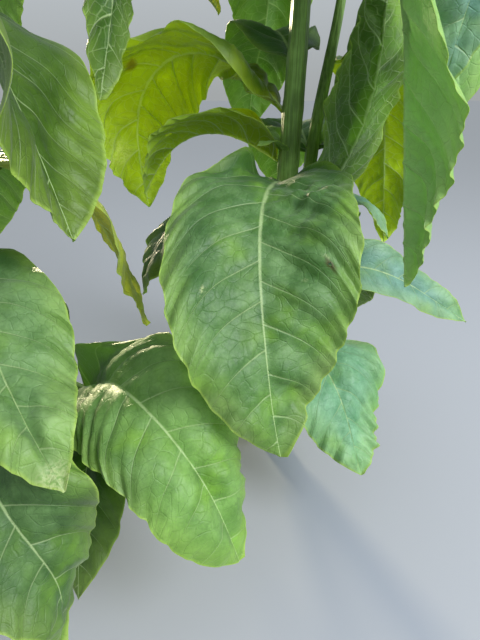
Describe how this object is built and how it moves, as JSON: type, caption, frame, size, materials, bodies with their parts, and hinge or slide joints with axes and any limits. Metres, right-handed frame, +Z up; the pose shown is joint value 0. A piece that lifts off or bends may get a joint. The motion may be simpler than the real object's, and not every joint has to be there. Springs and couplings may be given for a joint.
{
  "type": "tobacco plant",
  "caption": "Leafy crop plant: upright tapering stems from one flat-cut foot, with broad drooping pointed leaves set round them in a spiral.",
  "frame": {"origin": "on the ground, at the middle of the flat cut under the main stem", "axes": "+Z up along the stems; +X to the right and -Y to the front in the picture's view"},
  "size_m": [1.0073, 0.8567, 1.4998],
  "materials": {
    "stem": "olive green stalk with fine lengthwise ridges, slightly hairy, satin",
    "leaf": "mid to dark green blade, quilted between arched veins, pale midrib, paler underside, satin",
    "young_leaf": "pale yellow green young blade, soft and satin",
    "fading_leaf": "green blade turning pale yellow, with a brighter yellow tip, satin"
  },
  "bodies": {
    "root": {"left_leaf_01": "leaf", "left_leaf_02": "leaf", "left_leaf_03": "leaf", "left_leaf_04": "leaf", "left_leaf_05": "leaf", "left_leaf_06": "leaf", "left_leaf_07": "fading_leaf", "left_leaf_08": "leaf", "left_leaf_09": "leaf", "left_leaf_10": "leaf", "left_leaf_11": "leaf", "left_leaf_12": "leaf", "left_leaf_13": "young_leaf", "left_leaf_14": "young_leaf", "left_leaf_15": "young_leaf", "left_stem": "stem", "main_leaf_01": "leaf", "main_leaf_02": "leaf", "main_leaf_03": "leaf", "main_leaf_04": "leaf", "main_leaf_05": "leaf", "main_leaf_06": "leaf", "main_leaf_07": "leaf", "main_leaf_08": "leaf", "main_leaf_09": "leaf", "main_leaf_10": "leaf", "main_leaf_11": "leaf", "main_leaf_12": "leaf", "main_leaf_13": "fading_leaf", "main_leaf_14": "leaf", "main_leaf_15": "leaf", "main_leaf_16": "leaf", "main_leaf_17": "leaf", "main_leaf_18": "leaf", "main_leaf_19": "leaf", "main_leaf_20": "leaf", "main_leaf_21": "leaf", "main_leaf_22": "leaf", "main_leaf_23": "leaf", "main_leaf_24": "leaf", "main_leaf_25": "young_leaf", "main_leaf_26": "young_leaf", "main_leaf_27": "young_leaf", "main_stem": "stem", "right_leaf_01": "leaf", "right_leaf_02": "leaf", "right_leaf_03": "leaf", "right_leaf_04": "leaf", "right_leaf_05": "leaf", "right_leaf_06": "leaf", "right_leaf_07": "leaf", "right_leaf_08": "leaf", "right_leaf_09": "leaf", "right_leaf_10": "young_leaf", "right_leaf_11": "young_leaf", "right_leaf_12": "young_leaf", "right_stem": "stem"}
  },
  "joints": []
}
